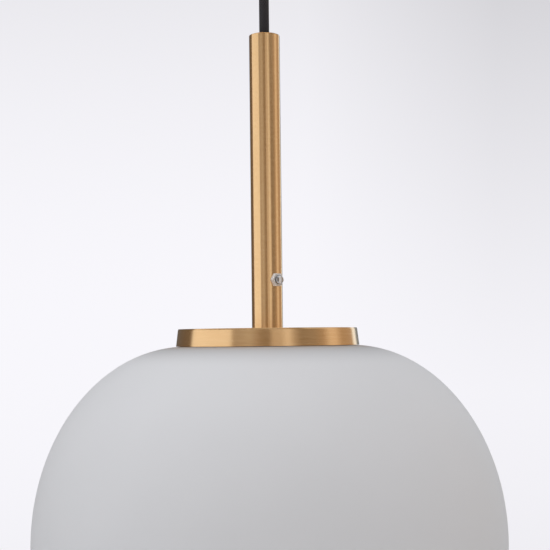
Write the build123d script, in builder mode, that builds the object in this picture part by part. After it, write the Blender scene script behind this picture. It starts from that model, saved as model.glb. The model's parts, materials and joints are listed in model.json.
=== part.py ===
"""Pendant ceiling light: canopy, cord, slim brass stem, brass cap and an opal glass globe.

Millimetres, +Z up. The origin is the centre of the bracket's face on the ceiling, and
everything hangs below it. Radii are called *_R, heights along Z are called *_Z.
"""

import os
from math import cos, radians, sin, sqrt, tan

from build123d import *

os.makedirs("parts", exist_ok=True)

# ---------------------------------------------------------------- driving dimensions
CANOPY_R = 60.0
CANOPY_DEPTH = 25.0
CANOPY_WALL = 1.0
GLAND_LENGTH = 13.0
CORD_DROP = 63.5
CORD_R = 3.25
STEM_R = 10.0
STEM_WALL = 1.2
STEM_LENGTH = 191.5
CAP_BOTTOM_R = 59.0
CAP_TOP_R = 57.8
CAP_HEIGHT = 11.0
CAP_WALL = 1.2
GLOBE_R = 150.0
GLOBE_FLAT_R = 53.5
GLOBE_HALF_HEIGHT = 122.0
GLOBE_WALL = 3.5
NECK_R = 49.2
NECK_BORE_R = 45.0
NECK_HEIGHT = 6.5
LOCK_ABOVE_CAP = 31.0
LOCK_ANGLE = 37.0
BULB_R = 30.0
BULB_LENGTH = 110.0
SHELL_R = 21.5
CORE_R = 0.95
FIT = 0.1

# ---------------------------------------------------------------- heights worked out from them
CANOPY_Z = -CANOPY_DEPTH
CANOPY_FLOOR_Z = CANOPY_Z + CANOPY_WALL
GLAND_MOUTH_Z = CANOPY_Z - GLAND_LENGTH
STEM_TOP_Z = GLAND_MOUTH_Z - CORD_DROP
CAP_TOP_Z = STEM_TOP_Z - STEM_LENGTH
CAP_BOTTOM_Z = CAP_TOP_Z - CAP_HEIGHT
GLOBE_TOP_Z = CAP_BOTTOM_Z - 0.1
GLOBE_MIDDLE_Z = GLOBE_TOP_Z - GLOBE_HALF_HEIGHT
NECK_TOP_Z = GLOBE_TOP_Z + NECK_HEIGHT
LOCK_Z = CAP_TOP_Z + LOCK_ABOVE_CAP
GALLERY_TOP_Z = CAP_TOP_Z - CAP_WALL
GALLERY_PLATE = 1.5
NUT_TOP_Z = GALLERY_TOP_Z - GALLERY_PLATE - 0.8
HOLDER_Z = NUT_TOP_Z - 4.5
COVER_PLATE_Z = HOLDER_Z - 3.0
SPIGOT_Z = HOLDER_Z - 17.0
SHELL_Z = HOLDER_Z - 24.0
INSERT_Z = SHELL_Z - 8.3
SHELL_BOTTOM_Z = SHELL_Z - 38.0
BULB_TIP_Z = INSERT_Z - 0.7
BULB_CAP_Z = BULB_TIP_Z - 5.1
BULB_HOUSING_Z = BULB_TIP_Z - 25.0
BULB_BOTTOM_Z = BULB_TIP_Z - BULB_LENGTH
BULB_CENTRE_Z = BULB_BOTTOM_Z + BULB_R
JACKET_END_Z = HOLDER_Z - 13.0

CORD_GAP = 0.5
SCREW_Z = -9.0
SCREW_R = 2.0
TERMINAL_Y = 27.0
TERMINAL_PITCH = 9.5
CLAMP_Z = -18.5
HOLDER_TERMINAL_X = 10.0
HOLDER_TERMINAL_Z = SHELL_Z + 2.5


# ---------------------------------------------------------------- repeated operations
def ring(outer, inner, low, high):
    """Add a round plate or tube about the Z axis to the piece being made."""
    with BuildSketch(Plane.XY.offset(low)) as section:
        Circle(outer)
        if inner:
            Circle(inner, mode=Mode.SUBTRACT)
    extrude(section.sketch, amount=high - low)


def turned(points):
    """Add a piece turned about the Z axis from its outline, a list of (radius, height)."""
    with BuildSketch(Plane.XZ) as section:
        with BuildLine():
            Polyline(*points, close=True)
        make_face()
    revolve(section.sketch, axis=Axis.Z)


def hex_nut(across, bore, low, high):
    """Add a hexagon nut about the Z axis."""
    with BuildSketch(Plane.XY.offset(low)) as section:
        RegularPolygon(across / 2, 6, major_radius=False)
        Circle(bore, mode=Mode.SUBTRACT)
    extrude(section.sketch, amount=high - low)


def rod(plane, radius, length, at=(0, 0), mode=Mode.ADD):
    """Add or cut a round rod that starts on a plane and runs along its normal."""
    with BuildSketch(plane) as section:
        with Locations(at):
            Circle(radius)
    extrude(section.sketch, amount=length, mode=mode)


def block(plane, width, height, length, at=(0, 0), mode=Mode.ADD):
    """Add or cut a rectangular block that starts on a plane and runs along its normal."""
    with BuildSketch(plane) as section:
        with Locations(at):
            Rectangle(width, height)
    extrude(section.sketch, amount=length, mode=mode)


def bend_radii(points):
    """The largest tangent arcs that the runs on both sides of each corner allow."""
    spots = [Vector(*point) for point in points]
    radii = []
    for before, corner, after in zip(spots, spots[1:], spots[2:]):
        shorter = min((corner - before).length, (after - corner).length)
        turn = (corner - before).get_angle(after - corner)
        radii.append(0.45 * shorter / tan(radians(turn / 2)))
    return radii


def core(points):
    """Add one insulated wire core along straight runs joined by tangent arcs."""
    with BuildLine() as route:
        FilletPolyline(*points, radius=bend_radii(points))
    start = Plane(origin=route.line @ 0, z_dir=route.line % 0)
    with BuildSketch(start) as section:
        Circle(CORE_R)
    sweep(section.sketch, path=route.line)


def core_start(turn, height):
    """Where one of the three cores leaves the end of the cord's jacket."""
    return (1.25 * cos(radians(turn)), 1.25 * sin(radians(turn)), height)


# ---------------------------------------------------------------- ceiling bracket
BRACKET_HALF = 58.0
BRACKET_WIDTH = 16.0
BRACKET_THICK = 2.0
SLOT_SPACING = 70.0
SLOT_LENGTH = 12.0
SLOT_WIDTH = 5.0
EAR_DEPTH = 14.0
EARTH_SCREW_X = 15.0

with BuildPart() as ceiling_bracket:
    with BuildSketch(Plane.XY.offset(-BRACKET_THICK)):
        Rectangle(2 * BRACKET_HALF, BRACKET_WIDTH)
        with GridLocations(SLOT_SPACING, 0, 2, 1):
            SlotOverall(SLOT_LENGTH, SLOT_WIDTH, mode=Mode.SUBTRACT)
        with Locations((EARTH_SCREW_X, 0)):
            Circle(SCREW_R + FIT, mode=Mode.SUBTRACT)
    extrude(amount=BRACKET_THICK)
    with BuildSketch(Plane.XY.offset(-EAR_DEPTH)):
        with GridLocations(2 * BRACKET_HALF - BRACKET_THICK, 0, 2, 1):
            Rectangle(BRACKET_THICK, BRACKET_WIDTH - 2)
    extrude(amount=EAR_DEPTH - BRACKET_THICK)
    rod(
        Plane.YZ.offset(-BRACKET_HALF - 1),
        SCREW_R + FIT,
        2 * BRACKET_HALF + 2,
        at=(0, SCREW_Z),
        mode=Mode.SUBTRACT,
    )
ceiling_bracket.part.label = "ceiling_bracket"
export_step(ceiling_bracket.part, "parts/ceiling_bracket.step")

with BuildPart() as bracket_earth_screw:
    earth_plane = Plane.XY.offset(-BRACKET_THICK - 2.5)
    rod(earth_plane, 3.5, 2.5, at=(EARTH_SCREW_X, 0))
    rod(earth_plane, SCREW_R, 4.2, at=(EARTH_SCREW_X, 0))
    block(earth_plane, 7.2, 0.9, 1.0, at=(EARTH_SCREW_X, 0), mode=Mode.SUBTRACT)
bracket_earth_screw.part.label = "bracket_earth_screw"
export_step(bracket_earth_screw.part, "parts/bracket_earth_screw.step")

# ---------------------------------------------------------------- canopy thumb screws
WASHER_X = CANOPY_R + 0.3
WASHER_THICK = 0.8
THUMB_R = 4.5
THUMB_LENGTH = 4.0
THUMB_SHANK = 8.5

left_side = Plane(origin=(0, 0, SCREW_Z), x_dir=(0, 1, 0), z_dir=(-1, 0, 0))
right_side = Plane(origin=(0, 0, SCREW_Z), x_dir=(0, 1, 0), z_dir=(1, 0, 0))
for side, outward in (("left", left_side), ("right", right_side)):
    with BuildPart() as canopy_washer:
        rod(outward.offset(WASHER_X), THUMB_R, WASHER_THICK)
        rod(outward.offset(WASHER_X), SCREW_R + 0.3, WASHER_THICK, mode=Mode.SUBTRACT)
    canopy_washer.part.label = f"canopy_washer_{side}"
    export_step(canopy_washer.part, f"parts/canopy_washer_{side}.step")

    head_plane = outward.offset(WASHER_X + WASHER_THICK + 0.05)
    with BuildPart() as canopy_screw:
        rod(head_plane, THUMB_R, THUMB_LENGTH)
        chamfer(canopy_screw.edges().filter_by(GeomType.CIRCLE), length=0.4)
        rod(head_plane.offset(-THUMB_SHANK), SCREW_R, THUMB_SHANK)
        block(head_plane.offset(THUMB_LENGTH), 2 * THUMB_R, 1.0, -1.2, mode=Mode.SUBTRACT)
    canopy_screw.part.label = f"canopy_screw_{side}"
    export_step(canopy_screw.part, f"parts/canopy_screw_{side}.step")

# ---------------------------------------------------------------- canopy
RIM_Z = -0.3
SIDE_SLOT_R = SCREW_R + 0.3
STUD_X = 19.0
STUD_R = 1.5
STUD_TOP_Z = -17.0

with BuildPart() as canopy_cup:
    ring(CANOPY_R, 0, CANOPY_Z, RIM_Z)
    fillet(canopy_cup.edges().group_by(Axis.Z)[0], radius=1.5)
    with BuildSketch(Plane.XY.offset(CANOPY_FLOOR_Z)):
        Circle(CANOPY_R - CANOPY_WALL)
    extrude(amount=CANOPY_DEPTH, mode=Mode.SUBTRACT)
    with BuildSketch(Plane.XY.offset(CANOPY_Z)):
        Circle(5.1)
    extrude(amount=CANOPY_WALL, mode=Mode.SUBTRACT)
    across = Plane.YZ.offset(-CANOPY_R - 1)
    rod(across, SIDE_SLOT_R, 2 * CANOPY_R + 2, at=(0, SCREW_Z), mode=Mode.SUBTRACT)
    block(
        across,
        2 * SIDE_SLOT_R,
        -SCREW_Z,
        2 * CANOPY_R + 2,
        at=(0, SCREW_Z / 2),
        mode=Mode.SUBTRACT,
    )
    stud_height = STUD_TOP_Z - CANOPY_FLOOR_Z
    rod(Plane.XY.offset(CANOPY_FLOOR_Z), STUD_R, stud_height, at=(STUD_X, TERMINAL_Y))
canopy_cup.part.label = "canopy_cup"
export_step(canopy_cup.part, "parts/canopy_cup.step")

# ---------------------------------------------------------------- cord gland under the canopy
GLAND_THREAD_R = 5.0
GLAND_BODY_R = 6.0
GLAND_BORE_R = 3.4
GLAND_FLANGE_R = 9.0
GLAND_FLANGE_Z = CANOPY_Z - 2.0

with BuildPart() as gland_body:
    ring(GLAND_FLANGE_R, GLAND_BORE_R, GLAND_FLANGE_Z, CANOPY_Z)
    ring(GLAND_THREAD_R, GLAND_BORE_R, CANOPY_Z, CANOPY_Z + 9)
    ring(GLAND_BODY_R, GLAND_BORE_R, CANOPY_Z - 8, GLAND_FLANGE_Z)
gland_body.part.label = "gland_body"
export_step(gland_body.part, "parts/gland_body.step")

with BuildPart() as gland_washer:
    ring(GLAND_FLANGE_R, GLAND_THREAD_R + 0.2, CANOPY_FLOOR_Z, CANOPY_FLOOR_Z + 1)
gland_washer.part.label = "gland_washer"
export_step(gland_washer.part, "parts/gland_washer.step")

with BuildPart() as gland_nut:
    hex_nut(16.0, GLAND_THREAD_R + 0.05, CANOPY_FLOOR_Z + 1, CANOPY_FLOOR_Z + 4.5)
gland_nut.part.label = "gland_nut"
export_step(gland_nut.part, "parts/gland_nut.step")

with BuildPart() as gland_collet:
    turned(
        [
            (3.3, CANOPY_Z - 8.2),
            (5.4, CANOPY_Z - 8.2),
            (4.6, CANOPY_Z - 11.0),
            (3.3, CANOPY_Z - 11.0),
        ]
    )
    block(Plane.XY.offset(CANOPY_Z - 11.0), 12, 0.6, 2.0, mode=Mode.SUBTRACT)
gland_collet.part.label = "gland_collet"
export_step(gland_collet.part, "parts/gland_collet.step")

with BuildPart() as gland_cap:
    turned(
        [
            (GLAND_BODY_R + FIT, GLAND_FLANGE_Z - 0.2),
            (8.5, GLAND_FLANGE_Z - 0.2),
            (8.5, GLAND_MOUTH_Z + 1.5),
            (7.0, GLAND_MOUTH_Z),
            (5.2, GLAND_MOUTH_Z),
            (3.8, GLAND_MOUTH_Z + 1.5),
            (3.8, GLAND_MOUTH_Z + 1.9),
            (4.8, GLAND_MOUTH_Z + 1.9),
            (5.6, CANOPY_Z - 8.1),
            (GLAND_BODY_R + FIT, CANOPY_Z - 8.1),
        ]
    )
gland_cap.part.label = "gland_cap"
export_step(gland_cap.part, "parts/gland_cap.step")

# ---------------------------------------------------------------- terminal block in the canopy
BLOCK_WIDTH = 30.0
BLOCK_DEPTH = 16.0
BLOCK_TOP_Z = -13.0
CLAMP_R = 3.0
CLAMP_LENGTH = 13.0
TERMINAL_SCREW_R = 1.4
LUG_THICK = 3.0
LUG_TOP_Z = CANOPY_FLOOR_Z + LUG_THICK
SCREW_ROW = 3.5
clamp_spots = [(shift * TERMINAL_PITCH, CLAMP_Z) for shift in (-1, 0, 1)]

with BuildPart() as terminal_block:
    floor_plane = Plane.XY.offset(CANOPY_FLOOR_Z)
    block_height = BLOCK_TOP_Z - CANOPY_FLOOR_Z
    block(floor_plane, BLOCK_WIDTH, BLOCK_DEPTH, block_height, at=(0, TERMINAL_Y))
    fillet(terminal_block.edges().filter_by(Axis.Z), radius=1.0)
    block(floor_plane, 9.0, 8.0, LUG_THICK, at=(STUD_X - 0.5, TERMINAL_Y))
    rod(floor_plane, STUD_R + 0.2, LUG_THICK, at=(STUD_X, TERMINAL_Y), mode=Mode.SUBTRACT)
    front = Plane.XZ.offset(-TERMINAL_Y - BLOCK_DEPTH)
    for spot in clamp_spots:
        rod(front, CLAMP_R + FIT, 2 * BLOCK_DEPTH, at=spot, mode=Mode.SUBTRACT)
    for shift in (-1, 0, 1):
        for row in (-SCREW_ROW, SCREW_ROW):
            rod(
                Plane.XY.offset(CLAMP_Z),
                2.0,
                -CLAMP_Z,
                at=(shift * TERMINAL_PITCH, TERMINAL_Y + row),
                mode=Mode.SUBTRACT,
            )
terminal_block.part.label = "terminal_block"
export_step(terminal_block.part, "parts/terminal_block.step")

with BuildPart() as terminal_clamps:
    clamp_front = Plane.XZ.offset(-TERMINAL_Y - CLAMP_LENGTH / 2)
    for spot in clamp_spots:
        rod(clamp_front, CLAMP_R, CLAMP_LENGTH, at=spot)
        rod(clamp_front, 1.6, CLAMP_LENGTH, at=spot, mode=Mode.SUBTRACT)
    for shift in (-1, 0, 1):
        for row in (-SCREW_ROW, SCREW_ROW):
            rod(
                Plane.XY.offset(CLAMP_Z),
                TERMINAL_SCREW_R + FIT,
                CLAMP_R + 1,
                at=(shift * TERMINAL_PITCH, TERMINAL_Y + row),
                mode=Mode.SUBTRACT,
            )
terminal_clamps.part.label = "terminal_clamps"
export_step(terminal_clamps.part, "parts/terminal_clamps.step")

with BuildPart() as terminal_screws:
    for shift in (-1, 0, 1):
        for row in (-SCREW_ROW, SCREW_ROW):
            screw_spot = (shift * TERMINAL_PITCH, TERMINAL_Y + row)
            rod(Plane.XY.offset(CLAMP_Z + 0.6), TERMINAL_SCREW_R, 4.4, at=screw_spot)
            slot_plane = Plane.XY.offset(CLAMP_Z + 4.2)
            block(slot_plane, 3.2, 0.5, 1.0, at=screw_spot, mode=Mode.SUBTRACT)
terminal_screws.part.label = "terminal_screws"
export_step(terminal_screws.part, "parts/terminal_screws.step")

with BuildPart() as terminal_nut:
    with BuildSketch(Plane.XY.offset(LUG_TOP_Z)):
        with Locations((STUD_X, TERMINAL_Y)):
            RegularPolygon(2.75, 6, major_radius=False)
            Circle(STUD_R + 0.05, mode=Mode.SUBTRACT)
    extrude(amount=2.4)
terminal_nut.part.label = "terminal_nut"
export_step(terminal_nut.part, "parts/terminal_nut.step")

# ---------------------------------------------------------------- cord
TAIL_TOP_Z = -15.0

with BuildPart() as cord_tail:
    ring(CORD_R, 0, GLAND_MOUTH_Z + CORD_GAP, TAIL_TOP_Z)
cord_tail.part.label = "cord_tail"
export_step(cord_tail.part, "parts/cord_tail.step")

canopy_cores = {
    "canopy_live_core": (210, -1),
    "canopy_neutral_core": (330, 1),
    "canopy_earth_core": (90, 0),
}
for name, (turn, shift) in canopy_cores.items():
    start = core_start(turn, TAIL_TOP_Z)
    clamp_x = shift * TERMINAL_PITCH
    with BuildPart() as canopy_core:
        core(
            [
                start,
                (start[0], start[1], -11.5),
                (0.6 * clamp_x, 6.0, -8.5),
                (clamp_x, 12.0, -11.0),
                (clamp_x, 14.5, CLAMP_Z),
                (clamp_x, 21.8, CLAMP_Z),
            ]
        )
    canopy_core.part.label = name
    export_step(canopy_core.part, f"parts/{name}.step")

with BuildPart() as suspension_cord:
    ring(CORD_R, 0, STEM_TOP_Z + CORD_GAP, GLAND_MOUTH_Z - CORD_GAP)
suspension_cord.part.label = "suspension_cord"
export_step(suspension_cord.part, "parts/suspension_cord.step")

with BuildPart() as stem_cord:
    ring(CORD_R, 0, JACKET_END_Z, STEM_TOP_Z - CORD_GAP)
stem_cord.part.label = "stem_cord"
export_step(stem_cord.part, "parts/stem_cord.step")

# ---------------------------------------------------------------- stem
STEM_BORE_R = STEM_R - STEM_WALL
PLUG_R = STEM_BORE_R - 0.05
PLUG_LENGTH = 43.0
NIPPLE_R = 5.0
NIPPLE_BORE_R = 3.6
LOCK_BUSH_R = 3.0
LOCK_FLANGE = 2.3
LOCK_FLANGE_ACROSS = 8.0
LOCK_HEAD_R = 2.85
LOCK_HEAD = 1.8
LOCK_HEAD_EDGE = 0.9
LOCK_SLOT_WIDTH = 1.2
LOCK_SLOT_DEPTH = 1.0
lock_direction = Vector(sin(radians(LOCK_ANGLE)), -cos(radians(LOCK_ANGLE)), 0)
lock_plane = Plane(origin=(0, 0, LOCK_Z), x_dir=(0, 0, 1), z_dir=lock_direction)

with BuildPart() as stem_tube:
    ring(STEM_R, STEM_BORE_R, CAP_TOP_Z, STEM_TOP_Z)
    fillet(stem_tube.edges().group_by(Axis.Z)[-1], radius=0.4)
    rod(lock_plane, LOCK_BUSH_R + FIT, STEM_R + 1, mode=Mode.SUBTRACT)
stem_tube.part.label = "stem_tube"
export_step(stem_tube.part, "parts/stem_tube.step")

with BuildPart() as stem_top_bush:
    turned(
        [
            (6.0, STEM_TOP_Z - 0.8),
            (PLUG_R, STEM_TOP_Z - 0.8),
            (PLUG_R, STEM_TOP_Z - 12.0),
            (GLAND_BORE_R, STEM_TOP_Z - 12.0),
            (GLAND_BORE_R, STEM_TOP_Z - 5.0),
            (4.2, STEM_TOP_Z - 2.2),
        ]
    )
stem_top_bush.part.label = "stem_top_bush"
export_step(stem_top_bush.part, "parts/stem_top_bush.step")

with BuildPart() as stem_plug:
    ring(PLUG_R, NIPPLE_BORE_R, CAP_TOP_Z, CAP_TOP_Z + PLUG_LENGTH)
    with BuildSketch(Plane.XY.offset(CAP_TOP_Z)):
        Circle(NIPPLE_R + 0.05)
    extrude(amount=12.0, mode=Mode.SUBTRACT)
    rod(lock_plane, SCREW_R + 0.15, STEM_R, mode=Mode.SUBTRACT)
    rod(lock_plane.offset(7.4), LOCK_BUSH_R + FIT, STEM_R, mode=Mode.SUBTRACT)
stem_plug.part.label = "stem_plug"
export_step(stem_plug.part, "parts/stem_plug.step")

with BuildPart() as lock_bush:
    rod(lock_plane.offset(7.5), LOCK_BUSH_R, STEM_R + 0.05 - 7.5)
    with BuildSketch(lock_plane.offset(STEM_R + 0.05)) as flange:
        RegularPolygon(LOCK_FLANGE_ACROSS / 2, 6, major_radius=False, rotation=90)
    extrude(flange.sketch, amount=LOCK_FLANGE)
    chamfer(lock_bush.faces().sort_by(Axis((0, 0, LOCK_Z), lock_direction))[-1].edges(), length=0.25)
    rod(lock_plane.offset(7.0), SCREW_R + 0.15, STEM_R, mode=Mode.SUBTRACT)
lock_bush.part.label = "lock_bush"
export_step(lock_bush.part, "parts/lock_bush.step")

# ---------------------------------------------------------------- cord lock in the stem
PAD_START = CORD_R + 0.2
PAD_END = 6.4

with BuildPart() as lock_pad:
    rod(lock_plane.offset(PAD_START), SCREW_R, PAD_END - PAD_START)
    rod(Plane.XY.offset(LOCK_Z - 5), PAD_START, 10, mode=Mode.SUBTRACT)
lock_pad.part.label = "lock_pad"
export_step(lock_pad.part, "parts/lock_pad.step")

with BuildPart() as lock_screw:
    head_start = STEM_R + 0.05 + LOCK_FLANGE
    rod(lock_plane.offset(head_start + 0.05), LOCK_HEAD_R, LOCK_HEAD)
    head_edges = lock_screw.edges().filter_by(GeomType.CIRCLE)
    fillet(head_edges.sort_by(Axis((0, 0, LOCK_Z), lock_direction))[-1], radius=LOCK_HEAD_EDGE)
    rod(lock_plane.offset(PAD_END + 0.1), SCREW_R, head_start - PAD_END)
    slot_start = lock_plane.offset(head_start + 0.05 + LOCK_HEAD)
    block(slot_start, 2 * LOCK_HEAD_R, LOCK_SLOT_WIDTH, -LOCK_SLOT_DEPTH, mode=Mode.SUBTRACT)
lock_screw.part.label = "lock_screw"
export_step(lock_screw.part, "parts/lock_screw.step")

# ---------------------------------------------------------------- nipple, cap and globe gallery
GALLERY_R = 51.0
CAP_BEVEL_WIDTH = 0.25
CAP_BEVEL_HEIGHT = 0.9
CAP_EDGE = 0.1
GALLERY_BORE_R = NECK_R + 0.3

with BuildPart() as threaded_nipple:
    ring(NIPPLE_R, NIPPLE_BORE_R, HOLDER_Z - 11.0, CAP_TOP_Z + 11.5)
threaded_nipple.part.label = "threaded_nipple"
export_step(threaded_nipple.part, "parts/threaded_nipple.step")

with BuildPart() as cap_cover:
    turned(
        [
            (0, CAP_TOP_Z),
            (CAP_TOP_R - CAP_BEVEL_WIDTH, CAP_TOP_Z),
            (CAP_TOP_R, CAP_TOP_Z - CAP_BEVEL_HEIGHT),
            (CAP_BOTTOM_R, CAP_BOTTOM_Z),
            (0, CAP_BOTTOM_Z),
        ]
    )
    fillet(cap_cover.edges().group_by(Axis.Z)[-1], radius=CAP_EDGE)
    with BuildSketch(Plane.XZ) as cap_hollow:
        with BuildLine():
            Polyline(
                (0, GALLERY_TOP_Z),
                (CAP_TOP_R - CAP_WALL, GALLERY_TOP_Z),
                (CAP_BOTTOM_R - CAP_WALL, CAP_BOTTOM_Z),
                (0, CAP_BOTTOM_Z),
                close=True,
            )
        make_face()
    revolve(cap_hollow.sketch, axis=Axis.Z, mode=Mode.SUBTRACT)
    rod(Plane.XY.offset(GALLERY_TOP_Z), NIPPLE_R + FIT, 2 * CAP_WALL, mode=Mode.SUBTRACT)
cap_cover.part.label = "cap_cover"
export_step(cap_cover.part, "parts/cap_cover.step")

with BuildPart() as globe_gallery:
    ring(GALLERY_R, NIPPLE_R + FIT, GALLERY_TOP_Z - GALLERY_PLATE, GALLERY_TOP_Z)
    ring(GALLERY_R, GALLERY_BORE_R, CAP_BOTTOM_Z + 0.8, GALLERY_TOP_Z - GALLERY_PLATE)
globe_gallery.part.label = "globe_gallery"
export_step(globe_gallery.part, "parts/globe_gallery.step")

with BuildPart() as nipple_washer:
    ring(10.0, NIPPLE_R + 0.2, NUT_TOP_Z, GALLERY_TOP_Z - GALLERY_PLATE)
nipple_washer.part.label = "nipple_washer"
export_step(nipple_washer.part, "parts/nipple_washer.step")

with BuildPart() as nipple_nut:
    hex_nut(14.0, NIPPLE_R + 0.05, NUT_TOP_Z - 4.0, NUT_TOP_Z)
nipple_nut.part.label = "nipple_nut"
export_step(nipple_nut.part, "parts/nipple_nut.step")

# ---------------------------------------------------------------- lampholder
SHELL_WALL = 1.9
SPIGOT_R = SHELL_R - SHELL_WALL - FIT
SPIGOT_BORE_R = SPIGOT_R - 2.0
SHELL_RIM_BORE_R = 15.5
HOLDER_BORE_R = 14.2
THREAD_R = 13.4
THREAD_WALL = 0.5
TAG_THICK = 0.8
TERMINAL_SCREW_Y = 1.2
TERMINAL_HEIGHT = 5.0

with BuildPart() as lampholder_cover:
    turned(
        [
            (NIPPLE_R + FIT, HOLDER_Z),
            (12.0, HOLDER_Z),
            (SHELL_R, HOLDER_Z - 6.0),
            (SHELL_R, SHELL_Z),
            (SHELL_R - SHELL_WALL, SHELL_Z),
            (SHELL_R - SHELL_WALL, HOLDER_Z - 7.0),
            (15.5, COVER_PLATE_Z),
            (NIPPLE_R + FIT, COVER_PLATE_Z),
        ]
    )
lampholder_cover.part.label = "lampholder_cover"
export_step(lampholder_cover.part, "parts/lampholder_cover.step")

with BuildPart() as earth_tag:
    with BuildSketch(Plane.XY.offset(COVER_PLATE_Z - TAG_THICK)):
        Circle(8.0)
        with Locations((0, 10.5)):
            Rectangle(4.0, 7.0)
        Circle(NIPPLE_R + FIT, mode=Mode.SUBTRACT)
    extrude(amount=TAG_THICK)
earth_tag.part.label = "earth_tag"
export_step(earth_tag.part, "parts/earth_tag.step")

with BuildPart() as holder_nut:
    hex_nut(14.0, NIPPLE_R + 0.05, COVER_PLATE_Z - TAG_THICK - 3.5, COVER_PLATE_Z - TAG_THICK)
holder_nut.part.label = "holder_nut"
export_step(holder_nut.part, "parts/holder_nut.step")

with BuildPart() as lampholder_shell:
    turned(
        [
            (SPIGOT_R, SPIGOT_Z),
            (SPIGOT_R, SHELL_Z),
            (SHELL_R, SHELL_Z),
            (SHELL_R - 1.5, SHELL_BOTTOM_Z),
            (SHELL_RIM_BORE_R, SHELL_BOTTOM_Z),
            (SHELL_RIM_BORE_R, SHELL_BOTTOM_Z + 5.0),
            (HOLDER_BORE_R, SHELL_BOTTOM_Z + 5.0),
            (HOLDER_BORE_R, INSERT_Z),
            (SPIGOT_BORE_R, INSERT_Z),
            (SPIGOT_BORE_R, SPIGOT_Z),
        ]
    )
lampholder_shell.part.label = "lampholder_shell"
export_step(lampholder_shell.part, "parts/lampholder_shell.step")

with BuildPart() as lampholder_insert:
    ring(SPIGOT_BORE_R - 0.2, 1.6, INSERT_Z, SHELL_Z)
    block(Plane.XY.offset(INSERT_Z), 16.0, 6.0, 0.8, mode=Mode.SUBTRACT)
lampholder_insert.part.label = "lampholder_insert"
export_step(lampholder_insert.part, "parts/lampholder_insert.step")

with BuildPart() as thread_shell:
    ring(THREAD_R + THREAD_WALL, 8.5, INSERT_Z - 0.5, INSERT_Z)
    ring(THREAD_R + THREAD_WALL, THREAD_R, SHELL_BOTTOM_Z + 5.5, INSERT_Z - 0.5)
thread_shell.part.label = "thread_shell"
export_step(thread_shell.part, "parts/thread_shell.step")

with BuildPart() as centre_contact:
    block(Plane.XY.offset(INSERT_Z + 0.2), 14.0, 5.0, 0.5)
    rod(Plane.XY.offset(INSERT_Z - 0.4), 2.5, 0.6)
    rod(Plane.XY.offset(INSERT_Z + 0.7), 1.5, 8.6)
centre_contact.part.label = "centre_contact"
export_step(centre_contact.part, "parts/centre_contact.step")

with BuildPart() as lampholder_terminals:
    for terminal_x in (-HOLDER_TERMINAL_X, HOLDER_TERMINAL_X):
        block(Plane.XY.offset(SHELL_Z), 6.0, 6.0, TERMINAL_HEIGHT, at=(terminal_x, 0))
        hole_plane = Plane.XZ.offset(-4.0)
        rod(hole_plane, 1.2, 8.0, at=(terminal_x, HOLDER_TERMINAL_Z), mode=Mode.SUBTRACT)
        screw_plane = Plane.XY.offset(HOLDER_TERMINAL_Z)
        rod(screw_plane, 1.35, 3.0, at=(terminal_x, TERMINAL_SCREW_Y), mode=Mode.SUBTRACT)
lampholder_terminals.part.label = "lampholder_terminals"
export_step(lampholder_terminals.part, "parts/lampholder_terminals.step")

with BuildPart() as lampholder_screws:
    for terminal_x in (-HOLDER_TERMINAL_X, HOLDER_TERMINAL_X):
        rod(Plane.XY.offset(HOLDER_TERMINAL_Z + 0.4), 1.25, 3.0, at=(terminal_x, TERMINAL_SCREW_Y))
        rod(Plane.XY.offset(SHELL_Z + TERMINAL_HEIGHT), 2.2, 1.5, at=(terminal_x, TERMINAL_SCREW_Y))
        block(
            Plane.XY.offset(SHELL_Z + TERMINAL_HEIGHT + 0.8),
            4.4,
            0.6,
            0.8,
            at=(terminal_x, TERMINAL_SCREW_Y),
            mode=Mode.SUBTRACT,
        )
lampholder_screws.part.label = "lampholder_screws"
export_step(lampholder_screws.part, "parts/lampholder_screws.step")

for name, turn, side in (("holder_live_core", 210, -1), ("holder_neutral_core", 330, 1)):
    start = core_start(turn, JACKET_END_Z)
    terminal_x = side * HOLDER_TERMINAL_X
    with BuildPart() as holder_core:
        core(
            [
                start,
                (start[0], start[1], JACKET_END_Z - 3.0),
                (0.6 * terminal_x, -9.0, HOLDER_TERMINAL_Z + 3.0),
                (terminal_x, -9.0, HOLDER_TERMINAL_Z),
                (terminal_x, -1.2, HOLDER_TERMINAL_Z),
            ]
        )
    holder_core.part.label = name
    export_step(holder_core.part, f"parts/{name}.step")

with BuildPart() as holder_earth_core:
    earth_start = core_start(90, JACKET_END_Z)
    core(
        [
            earth_start,
            (0, earth_start[1], JACKET_END_Z - 3.0),
            (0, 8.0, JACKET_END_Z - 4.5),
            (0, 12.5, JACKET_END_Z),
            (0, 12.5, COVER_PLATE_Z - TAG_THICK),
        ]
    )
holder_earth_core.part.label = "holder_earth_core"
export_step(holder_earth_core.part, "parts/holder_earth_core.step")

# ---------------------------------------------------------------- screw-in bulb
BULB_SHELL_R = 13.2
HOUSING_R = 24.0
HOUSING_BOTTOM_Z = BULB_CENTRE_Z + sqrt(BULB_R**2 - HOUSING_R**2)
DIFFUSER_WALL = 1.2
INNER_R = BULB_R - DIFFUSER_WALL
INNER_EDGE_R = sqrt(INNER_R**2 - (HOUSING_BOTTOM_Z - BULB_CENTRE_Z) ** 2)

with BuildPart() as bulb_contact:
    ring(4.5, 0, BULB_TIP_Z - 0.8, BULB_TIP_Z)
    fillet(bulb_contact.edges().group_by(Axis.Z)[-1], radius=0.5)
bulb_contact.part.label = "bulb_contact"
export_step(bulb_contact.part, "parts/bulb_contact.step")

with BuildPart() as bulb_insulator:
    turned(
        [
            (0, BULB_TIP_Z - 0.8),
            (5.0, BULB_TIP_Z - 0.8),
            (10.8, BULB_CAP_Z + 0.2),
            (0, BULB_CAP_Z + 0.2),
        ]
    )
bulb_insulator.part.label = "bulb_insulator"
export_step(bulb_insulator.part, "parts/bulb_insulator.step")

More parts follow.
